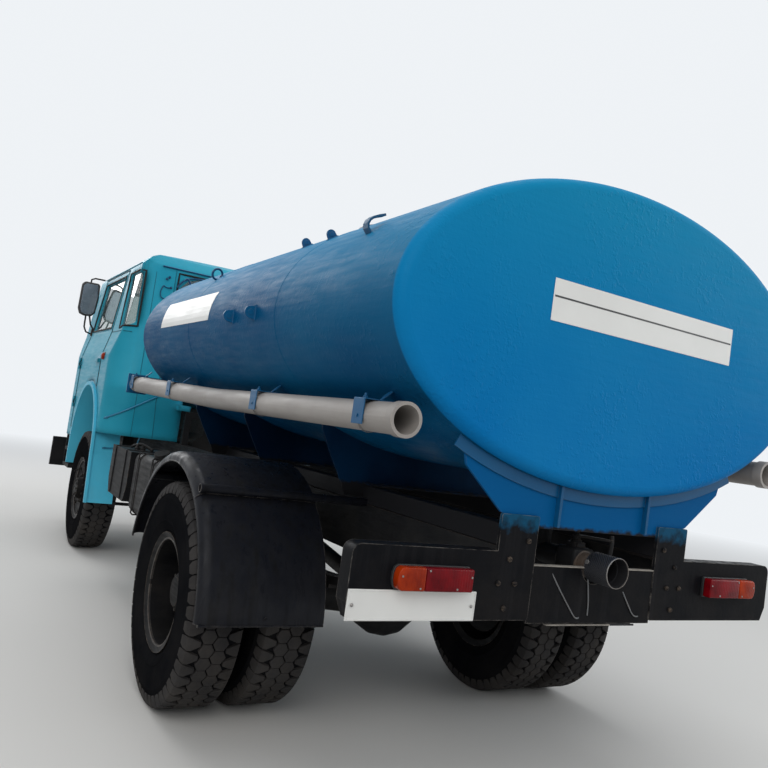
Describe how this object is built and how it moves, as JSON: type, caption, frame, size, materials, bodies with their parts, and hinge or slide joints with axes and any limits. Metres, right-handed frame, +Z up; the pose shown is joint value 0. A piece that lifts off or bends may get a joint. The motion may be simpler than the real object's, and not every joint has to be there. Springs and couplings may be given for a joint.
{
  "type": "water tanker truck",
  "caption": "Cab-over water tanker truck with an elliptical tank, a manhole lid, hose tubes along both sides, a rear discharge coupler, opening doors and a tilting cab.",
  "frame": {"origin": "on the ground at the middle of the truck's length and width", "axes": "+X to the front of the truck, +Y to its left side, +Z up"},
  "size_m": [6.88, 2.57, 2.731],
  "materials": {
    "chassis_black": "satin",
    "tank_grey": "satin",
    "tank_blue": "gloss",
    "pipe_grey": "satin",
    "rusty_steel": "rough",
    "lamp_lens": "gloss",
    "engine_iron": "rough",
    "core_aluminium": "satin",
    "wheel_paint": "satin",
    "tyre_rubber": "matte",
    "cab_teal": "gloss",
    "cab_window": "gloss",
    "trim_black": "matte",
    "seat_cloth": "matte"
  },
  "bodies": {
    "chassis": {"frame_rails": "chassis_black", "cross_members": "chassis_black", "cab_hinges": "chassis_black", "tank_cradle": "chassis_black", "tank": "tank_blue", "manhole": "tank_blue", "hose_tubes": "pipe_grey", "tube_clamps": "tank_blue", "tank_fittings": "tank_blue", "discharge_pipe": "rusty_steel", "rear_bumper": "chassis_black", "front_bumper": "chassis_black", "lamps": "lamp_lens", "leaf_springs": "chassis_black", "rear_axle": "chassis_black", "front_axle": "chassis_black", "rear_mudguards": "chassis_black", "engine": "engine_iron", "driveline": "engine_iron", "radiator": "core_aluminium", "fuel_tank": "chassis_black", "battery_box": "chassis_black", "air_tanks": "tank_grey"},
    "manhole_lid": {"manhole_lid": "tank_blue"},
    "cab": {"cab_shell": "cab_teal", "cab_glass": "cab_window", "cab_arches": "trim_black", "cab_steps": "chassis_black", "grille": "trim_black", "dashboard": "trim_black", "cab_seats": "seat_cloth", "mirrors": "trim_black"},
    "steering_wheel": {"steering_wheel": "trim_black"},
    "door_left": {"door_left": "cab_teal", "door_left_glass": "cab_window"},
    "door_right": {"door_right": "cab_teal", "door_right_glass": "cab_window"},
    "knuckle_left": {"knuckle_left": "chassis_black"},
    "knuckle_right": {"knuckle_right": "chassis_black"},
    "tie_rod": {"tie_rod": "chassis_black"},
    "front_wheel_left": {"front_rim_left": "wheel_paint", "front_tyre_left": "tyre_rubber"},
    "front_wheel_right": {"front_rim_right": "wheel_paint", "front_tyre_right": "tyre_rubber"},
    "rear_wheels_left": {"rear_rims_left": "wheel_paint", "rear_tyres_left": "tyre_rubber"},
    "rear_wheels_right": {"rear_rims_right": "wheel_paint", "rear_tyres_right": "tyre_rubber"}
  },
  "joints": [
    {"name": "cab_tilt", "type": "hinge", "parent": "chassis", "child": "cab", "pos_m": [3.297, 0, 0.935], "axis": [0, 1, 0], "range_deg": [0, 45]},
    {"name": "door_left_hinge", "type": "hinge", "parent": "cab", "child": "door_left", "pos_m": [2.88, 1.108, 1.45], "axis": [0, 0, -1], "range_deg": [0, 70]},
    {"name": "door_right_hinge", "type": "hinge", "parent": "cab", "child": "door_right", "pos_m": [2.88, -1.108, 1.45], "axis": [0, 0, 1], "range_deg": [0, 70]},
    {"name": "steer_left", "type": "hinge", "parent": "chassis", "child": "knuckle_left", "pos_m": [2.082, 0.8, 0.53], "axis": [0, 0, 1], "range_deg": [-32, 32]},
    {"name": "steer_right", "type": "hinge", "parent": "chassis", "child": "knuckle_right", "pos_m": [2.082, -0.8, 0.53], "axis": [0, 0, 1], "range_deg": [-32, 32]},
    {"name": "tie_rod_slide", "type": "slide", "parent": "chassis", "child": "tie_rod", "axis": [0, -1, 0], "range_m": [-0.081, 0.081]},
    {"name": "steering_wheel_turn", "type": "hinge", "parent": "cab", "child": "steering_wheel", "pos_m": [2.782, 0.48, 1.9], "axis": [0.7557, 0, -0.6549], "range_deg": [-641, 641]},
    {"name": "front_wheel_left_spin", "type": "hinge", "parent": "knuckle_left", "child": "front_wheel_left", "pos_m": [2.082, 0.94, 0.53], "axis": [0, 1, 0], "continuous": true},
    {"name": "front_wheel_right_spin", "type": "hinge", "parent": "knuckle_right", "child": "front_wheel_right", "pos_m": [2.082, -0.94, 0.53], "axis": [0, 1, 0], "continuous": true},
    {"name": "rear_wheels_left_spin", "type": "hinge", "parent": "chassis", "child": "rear_wheels_left", "pos_m": [-1.768, 0.961, 0.53], "axis": [0, 1, 0], "continuous": true},
    {"name": "rear_wheels_right_spin", "type": "hinge", "parent": "chassis", "child": "rear_wheels_right", "pos_m": [-1.768, -0.961, 0.53], "axis": [0, 1, 0], "continuous": true},
    {"name": "manhole_lid_hinge", "type": "hinge", "parent": "chassis", "child": "manhole_lid", "pos_m": [-1.747, 0, 2.666], "axis": [0, -1, 0], "range_deg": [0, 110]}
  ],
  "couplings": [
    {"joint": "steer_right", "follows": "steer_left", "ratio": 1},
    {"joint": "tie_rod_slide", "follows": "steer_left", "m_per_rad": 0.1423},
    {"joint": "steering_wheel_turn", "follows": "steer_left", "ratio": -20}
  ]
}
